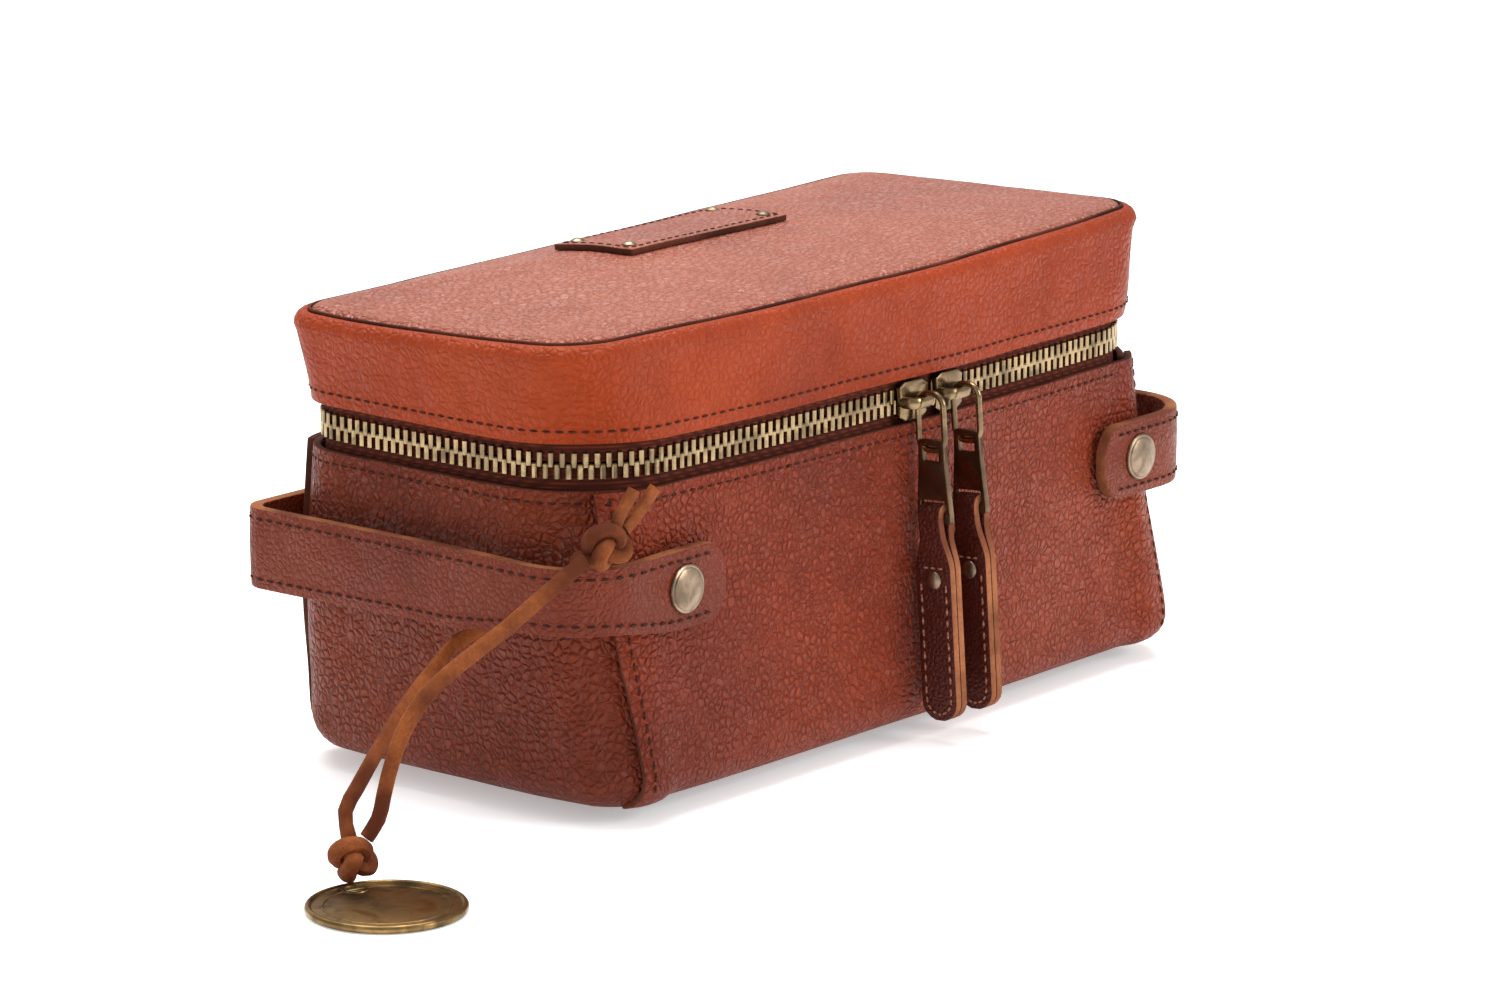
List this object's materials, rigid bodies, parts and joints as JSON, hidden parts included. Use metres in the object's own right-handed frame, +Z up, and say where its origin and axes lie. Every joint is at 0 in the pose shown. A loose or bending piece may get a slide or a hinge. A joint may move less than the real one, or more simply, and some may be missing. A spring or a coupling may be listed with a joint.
{
  "type": "shaving kit bag",
  "caption": "Leather shaving kit bag: zipped box body with a hinged lid, end handles, twin zip pulls and a brass tag on a lace.",
  "frame": {"origin": "on the floor under the middle of the bag's bounding box, the lace and its tag left out", "axes": "+X along the bag to its right end, -Y towards the front with the zip pulls, +Z up"},
  "size_m": [0.3554, 0.1402, 0.1337],
  "materials": {
    "leather_body": "pebbled, waxed red-brown leather",
    "leather_lid": "pebbled, waxed tan leather",
    "leather_pull": "smooth dark brown leather with raw tan edges",
    "leather_lace": "suede lace",
    "aged_brass": "aged brass",
    "zip_tape": "dark woven tape",
    "lining_cloth": "dark twill lining",
    "stiffener_board": "pressed fibre board, hidden"
  },
  "bodies": {
    "bag_body": {"front_panel": "leather_body", "back_panel": "leather_body", "end_panel_left": "leather_body", "end_panel_right": "leather_body", "base_panel": "leather_body", "base_board": "stiffener_board", "body_lining": "lining_cloth", "zip_tape_lower": "zip_tape", "zip_teeth_lower": "aged_brass", "hinge_gusset_lower": "leather_body", "foot_front_left": "aged_brass", "foot_front_right": "aged_brass", "foot_back_left": "aged_brass", "foot_back_right": "aged_brass", "handle_rivet_left_front": "aged_brass", "handle_rivet_left_back": "aged_brass", "handle_rivet_right_front": "aged_brass", "handle_rivet_right_back": "aged_brass", "lace_front": "leather_lace", "lace_back": "leather_lace", "lace_knot_tag": "leather_lace", "brass_tag": "aged_brass"},
    "lid": {"lid_band": "leather_lid", "lid_top": "leather_lid", "lid_board": "stiffener_board", "lid_lining": "lining_cloth", "zip_tape_upper": "zip_tape", "zip_teeth_upper": "aged_brass", "hinge_gusset_upper": "leather_body", "top_patch": "leather_lid", "patch_rivet_front_left": "aged_brass", "patch_rivet_front_right": "aged_brass", "patch_rivet_back_left": "aged_brass", "patch_rivet_back_right": "aged_brass"},
    "handle_left": {"handle_left": "leather_body", "lace_knot_handle": "leather_lace", "lace_tail_left": "leather_lace", "lace_tail_right": "leather_lace"},
    "handle_right": {"handle_right": "leather_body"},
    "slider_left": {"slider_left": "aged_brass"},
    "ring_left": {"ring_left": "aged_brass"},
    "pull_left": {"pull_plate_left": "aged_brass", "pull_strip_left": "leather_pull", "pull_rivet_left": "aged_brass"},
    "slider_right": {"slider_right": "aged_brass"},
    "ring_right": {"ring_right": "aged_brass"},
    "pull_right": {"pull_plate_right": "aged_brass", "pull_strip_right": "leather_pull", "pull_rivet_right": "aged_brass"}
  },
  "joints": [
    {"name": "lid_open", "type": "hinge", "parent": "bag_body", "child": "lid", "pos_m": [0, 0.0604, 0.092], "axis": [-1, 0, 0], "range_deg": [0, 105]},
    {"name": "handle_left_lift", "type": "hinge", "parent": "bag_body", "child": "handle_left", "pos_m": [-0.095, 0, 0.06], "axis": [0, 1, 0], "range_deg": [0, 8]},
    {"name": "handle_right_lift", "type": "hinge", "parent": "bag_body", "child": "handle_right", "pos_m": [0.1, 0, 0.06], "axis": [0, -1, 0], "range_deg": [0, 8]},
    {"name": "slider_left_run", "type": "hinge", "parent": "bag_body", "child": "slider_left", "pos_m": [0, 1.4003, 0.092], "axis": [0, 0, -1], "range_deg": [0, 1.77]},
    {"name": "ring_left_swing", "type": "hinge", "parent": "slider_left", "child": "ring_left", "pos_m": [0.002, -0.0555, 0.092], "axis": [-1, 0, 0], "range_deg": [0, 85]},
    {"name": "pull_left_swing", "type": "hinge", "parent": "ring_left", "child": "pull_left", "pos_m": [0.002, -0.05829, 0.07931], "axis": [0, 0.9976, -0.0698], "range_deg": [-3, 35]},
    {"name": "slider_right_run", "type": "hinge", "parent": "bag_body", "child": "slider_right", "pos_m": [0, 1.4003, 0.092], "axis": [0, 0, 1], "range_deg": [0, 1.77]},
    {"name": "ring_right_swing", "type": "hinge", "parent": "slider_right", "child": "ring_right", "pos_m": [0.0175, -0.05539, 0.092], "axis": [-1, 0, 0], "range_deg": [0, 85]},
    {"name": "pull_right_swing", "type": "hinge", "parent": "ring_right", "child": "pull_right", "pos_m": [0.0175, -0.05819, 0.07931], "axis": [0, 0.9976, -0.0698], "range_deg": [-35, 3]}
  ]
}
